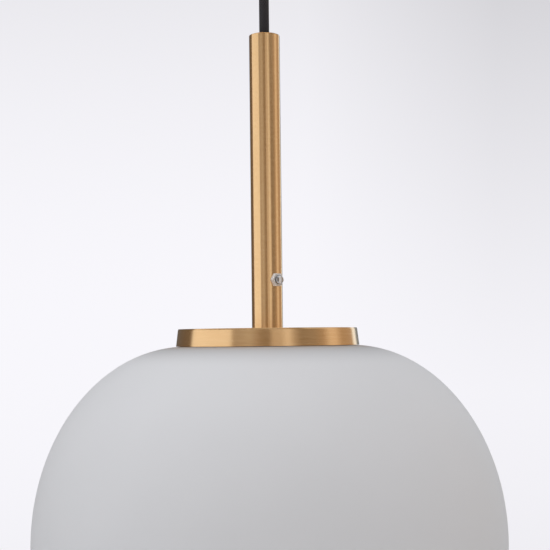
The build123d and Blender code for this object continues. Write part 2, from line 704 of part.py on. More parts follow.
with BuildPart() as bulb_cap:
    turned(
        [
            (0, BULB_CAP_Z),
            (11.0, BULB_CAP_Z),
            (BULB_SHELL_R, BULB_CAP_Z - 1.8),
            (BULB_SHELL_R, BULB_HOUSING_Z),
            (BULB_SHELL_R - 0.5, BULB_HOUSING_Z),
            (BULB_SHELL_R - 0.5, BULB_CAP_Z - 2.0),
            (10.8, BULB_CAP_Z - 0.5),
            (0, BULB_CAP_Z - 0.5),
        ]
    )
bulb_cap.part.label = "bulb_cap"
export_step(bulb_cap.part, "parts/bulb_cap.step")

with BuildPart() as bulb_housing:
    turned(
        [
            (0, BULB_HOUSING_Z),
            (14.0, BULB_HOUSING_Z),
            (14.8, BULB_HOUSING_Z - 5.0),
            (HOUSING_R, HOUSING_BOTTOM_Z),
            (HOUSING_R - 1.6, HOUSING_BOTTOM_Z),
            (13.2, BULB_HOUSING_Z - 7.0),
            (0, BULB_HOUSING_Z - 7.0),
        ]
    )
bulb_housing.part.label = "bulb_housing"
export_step(bulb_housing.part, "parts/bulb_housing.step")

with BuildPart() as led_board:
    ring(21.0, 0, HOUSING_BOTTOM_Z + 1.5, HOUSING_BOTTOM_Z + 3.0)
    with BuildSketch(Plane.XY.offset(HOUSING_BOTTOM_Z + 0.8)):
        with PolarLocations(14.0, 12):
            Rectangle(2.8, 3.5)
    extrude(amount=0.7)
led_board.part.label = "led_board"
export_step(led_board.part, "parts/led_board.step")

with BuildPart() as bulb_diffuser:
    with BuildSketch(Plane.XZ):
        with BuildLine():
            ThreePointArc(
                (HOUSING_R, HOUSING_BOTTOM_Z),
                (BULB_R, BULB_CENTRE_Z),
                (0, BULB_BOTTOM_Z),
            )
            Line((0, BULB_BOTTOM_Z), (0, BULB_BOTTOM_Z + DIFFUSER_WALL))
            ThreePointArc(
                (0, BULB_BOTTOM_Z + DIFFUSER_WALL),
                (INNER_R, BULB_CENTRE_Z),
                (INNER_EDGE_R, HOUSING_BOTTOM_Z),
            )
            Line((INNER_EDGE_R, HOUSING_BOTTOM_Z), (HOUSING_R, HOUSING_BOTTOM_Z))
        make_face()
    revolve(axis=Axis.Z)
bulb_diffuser.part.label = "bulb_diffuser"
export_step(bulb_diffuser.part, "parts/bulb_diffuser.step")

# ---------------------------------------------------------------- opal glass globe and its gasket
GASKET_THICK = 1.5
SHOULDER = GLOBE_R - GLOBE_FLAT_R
GLOBE_BOTTOM_Z = GLOBE_TOP_Z - 2 * GLOBE_HALF_HEIGHT

with BuildPart() as globe_gasket:
    ring(NECK_R - 0.2, NECK_BORE_R + 0.2, NECK_TOP_Z + 0.05, NECK_TOP_Z + GASKET_THICK)
globe_gasket.part.label = "globe_gasket"
export_step(globe_gasket.part, "parts/globe_gasket.step")

with BuildPart() as glass_globe:
    with BuildSketch(Plane.XZ):
        with BuildLine():
            Line((0, GLOBE_BOTTOM_Z), (GLOBE_FLAT_R, GLOBE_BOTTOM_Z))
            EllipticalCenterArc(
                (GLOBE_FLAT_R, GLOBE_MIDDLE_Z),
                SHOULDER,
                GLOBE_HALF_HEIGHT,
                start_angle=-90,
                arc_size=180,
            )
            Polyline(
                (GLOBE_FLAT_R, GLOBE_TOP_Z),
                (NECK_R, GLOBE_TOP_Z),
                (NECK_R, NECK_TOP_Z),
                (NECK_BORE_R, NECK_TOP_Z),
                (NECK_BORE_R, GLOBE_TOP_Z - GLOBE_WALL),
                (GLOBE_FLAT_R, GLOBE_TOP_Z - GLOBE_WALL),
            )
            EllipticalCenterArc(
                (GLOBE_FLAT_R, GLOBE_MIDDLE_Z),
                SHOULDER - GLOBE_WALL,
                GLOBE_HALF_HEIGHT - GLOBE_WALL,
                start_angle=-90,
                arc_size=180,
            )
            Polyline(
                (GLOBE_FLAT_R, GLOBE_BOTTOM_Z + GLOBE_WALL),
                (0, GLOBE_BOTTOM_Z + GLOBE_WALL),
                (0, GLOBE_BOTTOM_Z),
            )
        make_face()
    revolve(axis=Axis.Z)
glass_globe.part.label = "glass_globe"
export_step(glass_globe.part, "parts/glass_globe.step")
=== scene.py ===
"""Looks of the pendant ceiling light: materials, threads, knurls, braided cord, opal glass.

Metres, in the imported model's own frame: the origin is on the ceiling, +Z up, and the camera
stands on the -Y side. Every place is worked out from the boxes of the CAD nodes.
"""

import json
from math import cos, hypot, pi, radians, sin

import bpy
from mathutils import Matrix, Vector


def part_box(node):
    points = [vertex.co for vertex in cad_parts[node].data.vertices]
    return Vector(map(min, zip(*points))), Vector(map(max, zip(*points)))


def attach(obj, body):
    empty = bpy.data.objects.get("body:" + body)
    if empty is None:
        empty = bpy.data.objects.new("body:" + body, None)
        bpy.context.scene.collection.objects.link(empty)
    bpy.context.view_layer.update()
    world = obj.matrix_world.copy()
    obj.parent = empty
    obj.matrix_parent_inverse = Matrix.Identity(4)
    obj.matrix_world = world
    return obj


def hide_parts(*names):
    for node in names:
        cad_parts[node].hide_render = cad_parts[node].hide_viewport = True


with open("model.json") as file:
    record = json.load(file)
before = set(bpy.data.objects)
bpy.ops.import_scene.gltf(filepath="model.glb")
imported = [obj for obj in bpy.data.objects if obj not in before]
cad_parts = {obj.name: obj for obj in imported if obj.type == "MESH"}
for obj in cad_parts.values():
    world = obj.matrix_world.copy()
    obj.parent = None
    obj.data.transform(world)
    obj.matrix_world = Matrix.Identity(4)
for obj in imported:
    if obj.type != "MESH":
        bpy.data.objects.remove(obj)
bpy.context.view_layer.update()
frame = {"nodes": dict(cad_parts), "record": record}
scene = bpy.context.scene
MM = 0.001
M4_PITCH = 0.7 * MM
M10_PITCH = 1.0 * MM
E27_PITCH = 3.629 * MM

# ---------------------------------------------------------------- camera
CAP_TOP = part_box("cap_cover")[1].z
EYE_BELOW_CAP_TOP = 6.0 * MM
CAMERA_DISTANCE = 0.749
CAMERA_RIGHT = 3.0 * MM
CAMERA_YAW = radians(-0.17)
CAMERA_PITCH = radians(3.1)
CAMERA_ROLL = radians(-0.66)
SENSOR = 36.0
LENS = 75.76


def make_camera():
    data = bpy.data.cameras.new("camera")
    data.sensor_width = SENSOR
    data.lens = LENS
    data.clip_start = 0.01
    camera = bpy.data.objects.new("camera", data)
    scene.collection.objects.link(camera)
    turn = (
        Matrix.Rotation(CAMERA_YAW, 3, "Z")
        @ Matrix.Rotation(pi / 2 + CAMERA_PITCH, 3, "X")
        @ Matrix.Rotation(CAMERA_ROLL, 3, "Z")
    )
    camera.matrix_world = (
        Matrix.Translation((CAMERA_RIGHT, -CAMERA_DISTANCE, CAP_TOP - EYE_BELOW_CAP_TOP))
        @ turn.to_4x4()
    )
    scene.camera = camera


make_camera()
scene.view_settings.view_transform = "Standard"


# ---------------------------------------------------------------- mesh helpers
def new_object(name, vertices, faces, sharp=35):
    mesh = bpy.data.meshes.new(name)
    mesh.from_pydata(vertices, [], faces)
    mesh.validate()
    mesh.shade_smooth()
    mesh.set_sharp_from_angle(angle=radians(sharp))
    piece = bpy.data.objects.new(name, mesh)
    scene.collection.objects.link(piece)
    return piece


def around_axis(name, rows, columns, sharp=35):
    """A closed surface about Z from rows of (radius, height), where a radius may be a function
    of the angle. A row of radius 0 is one point. An outline with no such row closes on itself."""
    vertices, rings = [], []
    for radius, height in rows:
        if radius == 0:
            rings.append([len(vertices)])
            vertices.append((0, 0, height))
            continue
        ring = []
        for step in range(columns):
            turn = 2 * pi * step / columns
            r = radius(turn) if callable(radius) else radius
            ring.append(len(vertices))
            vertices.append((r * cos(turn), r * sin(turn), height))
        rings.append(ring)
    pairs = list(zip(rings, rings[1:]))
    if len(rings[0]) > 1 and len(rings[-1]) > 1:
        pairs.append((rings[-1], rings[0]))
    faces = []
    for low, high in pairs:
        if len(low) == 1 and len(high) == 1:
            continue
        for step in range(columns):
            after = (step + 1) % columns
            if len(low) == 1:
                faces.append((low[0], high[after], high[step]))
            elif len(high) == 1:
                faces.append((low[step], low[after], high[0]))
            else:
                faces.append((low[step], low[after], high[after], high[step]))
    return new_object(name, vertices, faces, sharp)


def arc(centre, radii, start, end, steps):
    """Points of an ellipse's arc, in degrees from the +radius direction."""
    points = []
    for step in range(steps + 1):
        turn = radians(start + (end - start) * step / steps)
        points.append((centre[0] + radii[0] * cos(turn), centre[1] + radii[1] * sin(turn)))
    return points


def thread_rows(crest, root, low, high, pitch, fade, per_turn=12, sharp_crest=False):
    """Rows of a right-hand thread that runs out over the height 'fade' at both ends."""
    count = max(2, round((high - low) / pitch * per_turn))
    rows = []
    for step in range(count + 1):
        height = low + (high - low) * step / count
        depth = min(1.0, (height - low) / fade, (high - height) / fade)

        def radius(turn, height=height, depth=depth):
            phase = (height / pitch - turn / (2 * pi)) % 1
            wave = abs(2 * phase - 1) if sharp_crest else 0.5 + 0.5 * cos(2 * pi * phase)
            return root + (crest - root) * wave * max(depth, 0)

        rows.append((radius, height))
    return rows


def body_of(name):
    """The body of the record that holds this CAD node."""
    bodies = frame["record"]["behaviour"]["bodies"]
    return next(body for body, nodes in bodies.items() if name in nodes)


def finish_piece(piece, body, slot, cad_node):
    """Gives a new piece the material of its slot, hides the CAD node that it stands for and puts the piece on
    its body.
    """
    piece.data.materials.append(MATERIALS[slot])
    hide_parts(cad_node)
    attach(piece, body)


# ---------------------------------------------------------------- shader helpers
def node(tree, kind, inputs=None, **settings):
    made = tree.nodes.new("ShaderNode" + kind)
    for name, value in settings.items():
        setattr(made, name, value)
    for key, value in (inputs or {}).items():
        if isinstance(value, bpy.types.NodeSocket):
            tree.links.new(value, made.inputs[key])
        else:
            made.inputs[key].default_value = value
    return made


def calc(tree, operation, first, second=0.0, third=0.0):
    made = node(tree, "Math", {0: first, 1: second, 2: third}, operation=operation)
    return made.outputs[0]


def remap(tree, value, low, high, to_low, to_high, smooth=False):
    kind = "SMOOTHSTEP" if smooth else "LINEAR"
    made = node(
        tree,
        "MapRange",
        {"Value": value, 1: low, 2: high, 3: to_low, 4: to_high},
        interpolation_type=kind,
    )
    return made.outputs[0]


def blend_colours(tree, share, first, second):
    made = node(tree, "Mix", {0: share, 6: first, 7: second}, data_type="RGBA")
    return made.outputs[2]


def colour(red, green, blue):
    return (red, green, blue, 1.0)


def noise(tree, vector, scale, detail=2.0, roughness=0.5, w=None):
    settings = {"noise_dimensions": "4D"} if w is not None else {}
    inputs = {"Vector": vector, "Scale": scale, "Detail": detail, "Roughness": roughness}
    if w is not None:
        inputs["W"] = w
    return node(tree, "TexNoise", inputs, **settings).outputs[0]


def place(tree):
    """The point in the piece's own frame, which is the row frame at rest."""
    return node(tree, "TexCoord").outputs["Object"]


def start_material(name):
    material = bpy.data.materials.new(name)
    material.use_nodes = True
    tree = material.node_tree
    shader = tree.nodes["Principled BSDF"]
    return material, tree, shader


def link(tree, socket, shader, name):
    tree.links.new(socket, shader.inputs[name])


def bump(tree, shader, height, distance, strength=1.0):
    made = node(tree, "Bump", {"Height": height, "Distance": distance, "Strength": strength})
    tree.links.new(made.outputs[0], shader.inputs["Normal"])


def distance_from_z(tree, x, y):
    square = calc(tree, "ADD", calc(tree, "MULTIPLY", x, x), calc(tree, "MULTIPLY", y, y))
    return calc(tree, "SQRT", square)


def round_z(tree):
    """(x and y of the unit direction away from the Z axis, height, distance from the axis)."""
    x, y, height = node(tree, "SeparateXYZ", {0: place(tree)}).outputs
    radius = distance_from_z(tree, x, y)
    safe = calc(tree, "MAXIMUM", radius, 1e-5)
    return calc(tree, "DIVIDE", x, safe), calc(tree, "DIVIDE", y, safe), height, radius


# ---------------------------------------------------------------- materials
def brushed_brass():
    """Satin brass, brushed round the Z axis: long fine streaks and a highlight drawn out along Z."""
    material, tree, shader = start_material("satin_brass")
    across, along, height, radius = round_z(tree)
    streaks = []
    for reach, fineness in ((2.2, 5200.0), (3.5, 1500.0), (2.0, 620.0)):
        vector = node(
            tree,
            "CombineXYZ",
            {
                0: calc(tree, "MULTIPLY", across, reach),
                1: calc(tree, "MULTIPLY", along, reach),
                2: calc(tree, "MULTIPLY", height, fineness),
            },
        ).outputs[0]
        streaks.append(noise(tree, vector, 1.0, 2.0, 0.6, w=calc(tree, "MULTIPLY", radius, fineness)))
    fine = calc(tree, "MULTIPLY_ADD", streaks[0], 0.40, calc(tree, "MULTIPLY", streaks[1], 0.42))
    streak = calc(tree, "MULTIPLY_ADD", streaks[2], 0.18, fine)
    cloud = noise(tree, place(tree), 28.0, 3.0)
    tone = remap(tree, streak, 0.32, 0.68, 0.0, 1.0)
    base = blend_colours(tree, tone, colour(0.80, 0.50, 0.235), colour(0.93, 0.635, 0.345))
    aged = blend_colours(tree, remap(tree, cloud, 0.35, 0.7, 0.0, 0.3), base, colour(0.84, 0.53, 0.27))
    link(tree, aged, shader, "Base Color")
    rough = remap(tree, streak, 0.3, 0.7, 0.18, 0.27)
    link(tree, rough, shader, "Roughness")
    shader.inputs["Metallic"].default_value = 1.0
    shader.inputs["Anisotropic"].default_value = 0.82
    shader.inputs["Anisotropic Rotation"].default_value = 0.25
    shader.inputs["Coat Weight"].default_value = 0.3
    shader.inputs["Coat Roughness"].default_value = 0.12
    tangent = node(tree, "Tangent", direction_type="RADIAL", axis="Z")
    tree.links.new(tangent.outputs[0], shader.inputs["Tangent"])
    bump(tree, shader, streak, 0.02 * MM, 0.55)
    return material


METAL_GRAIN = 900.0
SKIN_GRAIN = 1400.0
GRAIN_DEPTH = 0.01 * MM


def plain_metal(name, dark, light, rough_low, rough_high):
    """A metal with a fine grain and slightly cloudy colour."""
    material, tree, shader = start_material(name)
    grain = noise(tree, place(tree), METAL_GRAIN, 4.0, 0.6)
    cloud = noise(tree, place(tree), METAL_GRAIN / 9, 3.0)
    mixed = calc(tree, "MULTIPLY_ADD", grain, 0.4, calc(tree, "MULTIPLY", cloud, 0.6))
    share = remap(tree, mixed, 0.35, 0.65, 0, 1)
    link(tree, blend_colours(tree, share, colour(*dark), colour(*light)), shader, "Base Color")
    link(tree, remap(tree, grain, 0.3, 0.7, rough_low, rough_high), shader, "Roughness")
    shader.inputs["Metallic"].default_value = 1.0
    bump(tree, shader, grain, GRAIN_DEPTH, 0.4)
    return material


def moulded(name, dark, light, rough_low, rough_high, coat=0.0):
    """A moulded plastic, rubber or glaze with a fine orange-peel skin."""
    material, tree, shader = start_material(name)
    grain = noise(tree, place(tree), SKIN_GRAIN, 3.0, 0.55)
    cloud = noise(tree, place(tree), SKIN_GRAIN / 20, 2.0)
    share = remap(tree, cloud, 0.3, 0.7, 0, 1)
    link(tree, blend_colours(tree, share, colour(*dark), colour(*light)), shader, "Base Color")
    link(tree, remap(tree, grain, 0.3, 0.7, rough_low, rough_high), shader, "Roughness")
    shader.inputs["Coat Weight"].default_value = coat
    bump(tree, shader, grain, GRAIN_DEPTH, 0.5)
    return material


CONTACT_SHADE = 0.37
CONTACT_SHADE_REACH = 36 * MM
CONTACT_PAINTED_REFLECTION = 0.35
CONTACT_PAINTED_REFLECTION_REACH = 14 * MM


def opal_glass():
    """Acid-etched white opal glass: a fine even frosting over a very slightly wavy blown surface."""
    material, tree, shader = start_material("opal_glass")
    frost = noise(tree, place(tree), 5200.0, 2.0, 0.6)
    wave = noise(tree, place(tree), 16.0, 2.0, 0.4)
    cloud = noise(tree, place(tree), 9.0, 2.0, 0.5)
    base = blend_colours(
        tree, remap(tree, cloud, 0.3, 0.7, 0, 1), colour(0.785, 0.808, 0.85), colour(0.815, 0.836, 0.878)
    )
    # painted contact shade round the cap, darker and with a painted brown reflection of the brass: neither
    # comes from the light, and both stay in any light
    _, _, height, radius = round_z(tree)
    low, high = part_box("glass_globe")
    middle = (low.z + high.z) / 2
    upper = remap(tree, height, middle, middle + 40 * MM, 0, 1)
    cap_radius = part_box("cap_cover")[1].x
    for amount, reach, paint in (
        (CONTACT_SHADE, CONTACT_SHADE_REACH, colour(0.03, 0.03, 0.03)),
        (CONTACT_PAINTED_REFLECTION, CONTACT_PAINTED_REFLECTION_REACH, colour(0.42, 0.32, 0.25)),
    ):
        near = remap(tree, radius, cap_radius, cap_radius + reach, 1, 0, True)
        share = calc(tree, "MULTIPLY", calc(tree, "MULTIPLY", upper, near), amount)
        base = blend_colours(tree, share, base, paint)
    link(tree, base, shader, "Base Color")
    link(tree, remap(tree, frost, 0.3, 0.7, 0.5, 0.62), shader, "Roughness")
    shader.inputs["IOR"].default_value = 1.5
    shader.inputs["Specular IOR Level"].default_value = 0.35
    height = calc(tree, "MULTIPLY_ADD", wave, 6.0, calc(tree, "MULTIPLY", frost, 0.05))
    bump(tree, shader, height, 0.1 * MM, 0.25)
    return material


def clear_plastic():
    material, tree, shader = start_material("clear_plastic")
    grain = noise(tree, place(tree), 900.0, 3.0)
    tint = blend_colours(tree, grain, colour(0.96, 0.945, 0.95), colour(0.995, 0.985, 0.99))
    link(tree, tint, shader, "Base Color")
    link(tree, remap(tree, grain, 0.3, 0.7, 0.22, 0.34), shader, "Roughness")
    shader.inputs["Transmission Weight"].default_value = 0.15
    shader.inputs["IOR"].default_value = 1.49
    bump(tree, shader, grain, 0.02 * MM, 0.5)
    return material


BRAID_STRANDS = 12
BRAID_PITCH = 30 * MM


def braided_textile():
    """Black braid: two sets of strands that cross round the Z axis, with a dull sheen."""
    material, tree, shader = start_material("black_textile")
    parts = node(tree, "SeparateXYZ", {0: place(tree)})
    turn = calc(tree, "ARCTAN2", parts.outputs[1], parts.outputs[0])
    lift = calc(tree, "MULTIPLY", parts.outputs[2], 2 * pi * BRAID_STRANDS / BRAID_PITCH)
    wound = calc(tree, "MULTIPLY", turn, BRAID_STRANDS)
    right = calc(tree, "SINE", calc(tree, "ADD", wound, lift))
    left = calc(tree, "SINE", calc(tree, "SUBTRACT", wound, lift))
    weave = calc(tree, "MAXIMUM", right, left)
    fibre = noise(tree, place(tree), 3500.0, 3.0, 0.7)
    relief = calc(tree, "MULTIPLY_ADD", fibre, 0.5, weave)
    # the colour is lighter on the strands' crests and darker where they dip: painted shade in the braid's
    # grooves, with the fibres' own uneven tone mixed in
    tone = remap(tree, relief, -0.6, 1.5, 0.0, 1.0)
    black = blend_colours(tree, tone, colour(0.009, 0.009, 0.012), colour(0.042, 0.041, 0.052))
    link(tree, black, shader, "Base Color")
    link(tree, remap(tree, fibre, 0.3, 0.7, 0.7, 0.9), shader, "Roughness")
    shader.inputs["Sheen Weight"].default_value = 0.08
    shader.inputs["Sheen Roughness"].default_value = 0.5
    bump(tree, shader, relief, 0.08 * MM, 0.8)
    return material


def green_and_yellow():
    """Earth core insulation: two stripes, which a scrape across the print leaves uneven."""
    material, tree, shader = start_material("green_core")
    parts = node(tree, "SeparateXYZ", {0: place(tree)})
    wobble = noise(tree, place(tree), 120.0, 2.0)
    stripe = calc(tree, "SINE", calc(tree, "MULTIPLY_ADD", parts.outputs[0], 2600.0, wobble))
    share = remap(tree, stripe, -0.1, 0.1, 0, 1)
    stripes = blend_colours(tree, share, colour(0.06, 0.26, 0.05), colour(0.72, 0.62, 0.05))
    link(tree, stripes, shader, "Base Color")
    link(tree, remap(tree, wobble, 0.3, 0.7, 0.3, 0.42), shader, "Roughness")
    return material


def led_board_material():
    """White solder mask with the yellow phosphor of the chips that stand below it."""
    material, tree, shader = start_material("white_board")
    parts = node(tree, "SeparateXYZ", {0: place(tree)})
    chip_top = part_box("led_board")[0].z + 0.68 * MM
    chip = remap(tree, parts.outputs[2], chip_top, chip_top + 0.02 * MM, 1.0, 0.0)
    grain = noise(tree, place(tree), 1500.0, 2.0)
    board = blend_colours(tree, grain, colour(0.80, 0.81, 0.79), colour(0.86, 0.86, 0.84))
    link(tree, blend_colours(tree, chip, board, colour(0.86, 0.66, 0.12)), shader, "Base Color")
    link(tree, remap(tree, grain, 0.3, 0.7, 0.3, 0.45), shader, "Roughness")
    return material


# name: darker and lighter colour, lowest and highest roughness
METALS = {
    "brass_fitting": ((0.62, 0.42, 0.16), (0.80, 0.60, 0.28), 0.22, 0.34),
    "zinc_steel": ((0.42, 0.44, 0.46), (0.62, 0.63, 0.64), 0.30, 0.44),
    "nickelled_metal": ((0.58, 0.56, 0.53), (0.74, 0.72, 0.69), 0.16, 0.28),
    "polished_chrome": ((0.48, 0.49, 0.52), (0.56, 0.57, 0.60), 0.10, 0.18),
}
# the same, and how much of a clear coat there is where it has one
MOULDINGS = {
    "bulb_opal": ((0.84, 0.84, 0.82), (0.88, 0.88, 0.86), 0.45, 0.55),
    "black_glass": ((0.008, 0.008, 0.01), (0.02, 0.02, 0.024), 0.08, 0.16, 0.5),
    "clear_silicone": ((0.62, 0.62, 0.60), (0.70, 0.70, 0.68), 0.4, 0.55),
    "black_plastic": ((0.012, 0.012, 0.013), (0.024, 0.024, 0.026), 0.4, 0.55),
    "white_nylon": ((0.74, 0.74, 0.70), (0.80, 0.80, 0.76), 0.42, 0.55),
    "white_thermoset": ((0.78, 0.77, 0.74), (0.83, 0.82, 0.79), 0.26, 0.36, 0.2),
    "porcelain": ((0.78, 0.77, 0.73), (0.84, 0.83, 0.80), 0.12, 0.22, 0.6),
    "brown_core": ((0.13, 0.045, 0.018), (0.18, 0.07, 0.03), 0.3, 0.42),
    "blue_core": ((0.02, 0.08, 0.36), (0.04, 0.13, 0.46), 0.3, 0.42),
}
MATERIALS = {
    "satin_brass": brushed_brass(),
    "opal_glass": opal_glass(),
    "clear_plastic": clear_plastic(),
    "black_textile": braided_textile(),
    "white_board": led_board_material(),
    "green_core": green_and_yellow(),
}
MATERIALS.update({name: plain_metal(name, *look) for name, look in METALS.items()})
MATERIALS.update({name: moulded(name, *look) for name, look in MOULDINGS.items()})

for entry in frame["record"]["subparts"]:
    cad_node = frame["nodes"][entry["node"]]
    cad_node.data.materials.clear()
    cad_node.data.materials.append(MATERIALS[entry["material_slot"]])


# ---------------------------------------------------------------- suspension cord
GLAND_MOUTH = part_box("gland_cap")[0].z
STEM_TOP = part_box("stem_tube")[1].z
CORD_DIAMETER = 6.5 * MM
CORD_HIGH = GLAND_MOUTH + 1.5 * MM
CORD_LOW = STEM_TOP - 1.5 * MM
CORD_POINTS = [(0, 0, CORD_HIGH + (CORD_LOW - CORD_HIGH) * step / 4) for step in range(5)]


def cord_line():
    """Points of the cord's smooth centreline, read from its NURBS spline."""
    curve = bpy.data.curves.new("cord_line", "CURVE")
    curve.dimensions = "3D"
    curve.resolution_u = 24
    spline = curve.splines.new("NURBS")
    spline.points.add(len(CORD_POINTS) - 1)
    for point, spot in zip(spline.points, CORD_POINTS):
        point.co = (*spot, 1)
    spline.order_u = 3
    spline.use_endpoint_u = True
    guide = bpy.data.objects.new("cord_line", curve)
    mesh = bpy.data.meshes.new_from_object(guide)
    points = [vertex.co.copy() for vertex in mesh.vertices]
    bpy.data.objects.remove(guide)
    bpy.data.meshes.remove(mesh)
    bpy.data.curves.remove(curve)
    return points


def suspension_cord():
    """The braid's relief is in the mesh: where a strand passes over, the surface stands proud."""
    line = cord_line()
    top, bottom = line[0].z, line[-1].z
    rows_count, columns = 420, 168
    relief = 0.09 * MM
    body = CORD_DIAMETER / 2 - relief
    rows = [(0, top)]
    for row in range(rows_count + 1):
        height = top + (bottom - top) * row / rows_count

        def radius(turn, height=height):
            lift = 2 * pi * height * BRAID_STRANDS / BRAID_PITCH
            right = sin(BRAID_STRANDS * turn + lift)
            left = sin(BRAID_STRANDS * turn - lift)
            return body + relief * (0.5 + 0.5 * max(right, left))

        rows.append((radius, height))
    rows.append((0, bottom))
    cord = around_axis("cord_braid", rows, columns, sharp=80)
    finish_piece(cord, "cord", "black_textile", "suspension_cord")


suspension_cord()


# ---------------------------------------------------------------- opal globe
GLOBE_LOW, GLOBE_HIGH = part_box("glass_globe")
NECK_HEIGHT = 6.5 * MM
NECK_RADIUS = 49.2 * MM
NECK_BORE = 45.0 * MM
GLOBE_FLAT = 53.5 * MM
GLOBE_WALL = 3.5 * MM
GLOBE_THREAD_PITCH = 4.0 * MM
GLOBE_THREAD_DEPTH = 1.0 * MM


def opal_globe():
    """One blown shell: flat ends, elliptical shoulders and a short neck with a round thread."""
    outer = (GLOBE_HIGH.x, (GLOBE_HIGH.z - NECK_HEIGHT - GLOBE_LOW.z) / 2)
    top = GLOBE_HIGH.z - NECK_HEIGHT
    middle = (GLOBE_FLAT, GLOBE_LOW.z + outer[1])
    shoulder = (outer[0] - GLOBE_FLAT, outer[1])
    inside = (shoulder[0] - GLOBE_WALL, shoulder[1] - GLOBE_WALL)
    lip = 0.6 * MM
    rows = [(0, GLOBE_LOW.z), (GLOBE_FLAT / 3, GLOBE_LOW.z), (GLOBE_FLAT * 2 / 3, GLOBE_LOW.z)]
    rows += arc(middle, shoulder, -90, 90, 120)
    rows += thread_rows(
        NECK_RADIUS,
        NECK_RADIUS - GLOBE_THREAD_DEPTH,
        top,
        GLOBE_HIGH.z - lip,
        GLOBE_THREAD_PITCH,
        fade=1.2 * MM,
        per_turn=16,
    )
    rows += arc((NECK_RADIUS - GLOBE_THREAD_DEPTH - lip, GLOBE_HIGH.z - lip), (lip, lip), 15, 90, 4)
    rows += arc((NECK_BORE + lip, GLOBE_HIGH.z - lip), (lip, lip), 90, 180, 4)
    rows += [(NECK_BORE, top), (NECK_BORE, top - GLOBE_WALL + lip), (NECK_BORE + lip, top - GLOBE_WALL)]
    rows += arc(middle, inside, 90, -90, 90)
    rows += [(GLOBE_FLAT / 2, GLOBE_LOW.z + GLOBE_WALL), (0, GLOBE_LOW.z + GLOBE_WALL)]
    globe = around_axis("opal_globe", rows, 192)
    finish_piece(globe, "globe", "opal_glass", "glass_globe")


opal_globe()


# ---------------------------------------------------------------- cord lock screw
STEM_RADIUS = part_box("stem_tube")[1].x
LOCK_ANGLE = radians(37)
LOCK_Z = (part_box("lock_bush")[0].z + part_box("lock_bush")[1].z) / 2
LOCK_HEAD_START = STEM_RADIUS + 2.4 * MM
LOCK_HEAD_RADIUS = 2.85 * MM
LOCK_HEAD_HEIGHT = 1.8 * MM
LOCK_SLOT_WIDTH = 1.9 * MM
LOCK_SLOT_DEPTH = 0.45 * MM
LOCK_SHANK_RADIUS = 2.0 * MM
LOCK_SHANK_START = 6.5 * MM
# painted light on the chrome lock screw: a white slot floor and lighter chrome slot walls are a painted
# glint, and a dark chrome copy on the head's side is painted shade
SLOT_FLOOR_PAINTED_GLINT = moulded("chrome_slot_floor_painted_glint", (0.95, 0.95, 0.97), (0.99, 0.99, 1.0), 0.35, 0.5)
HEAD_SIDE_PAINTED_SHADE = plain_metal("chrome_head_side_painted_shade", (0.10, 0.10, 0.11), (0.17, 0.17, 0.18), 0.25, 0.35)
SLOT_WALL_PAINTED_GLINT = plain_metal("chrome_slot_wall_painted_glint", (0.90, 0.91, 0.92), (0.95, 0.96, 0.97), 0.15, 0.25)


def lock_frame():
    """Local Z points out of the stem along the lock, local X points up."""
    out = Vector((sin(LOCK_ANGLE), -cos(LOCK_ANGLE), 0))
    up = Vector((0, 0, 1))
    turn = Matrix((up, out.cross(up), out)).transposed()
    return Matrix.Translation((0, 0, LOCK_Z)) @ turn.to_4x4()


def cut_box(piece, low, high):
    """Cuts a box out of the piece, in the piece's own axes."""
    mesh = bpy.data.meshes.new("cutter")
    corners = [(x, y, z) for z in (low[2], high[2]) for y in (low[1], high[1]) for x in (low[0], high[0])]
    sides = [(0, 2, 3, 1), (4, 5, 7, 6), (0, 1, 5, 4), (2, 6, 7, 3), (0, 4, 6, 2), (1, 3, 7, 5)]
    mesh.from_pydata(corners, [], sides)
    cutter = bpy.data.objects.new("cutter", mesh)
    scene.collection.objects.link(cutter)
    cut = piece.modifiers.new("slot", "BOOLEAN")
    cut.operation = "DIFFERENCE"
    cut.solver = "EXACT"
    cut.object = cutter
    bpy.context.view_layer.update()
    result = bpy.data.meshes.new_from_object(piece.evaluated_get(bpy.context.evaluated_depsgraph_get()))
    piece.modifiers.clear()
    piece.data = result
    result.shade_smooth()
    result.set_sharp_from_angle(angle=radians(30))
    bpy.data.objects.remove(cutter)
    bpy.data.meshes.remove(mesh)


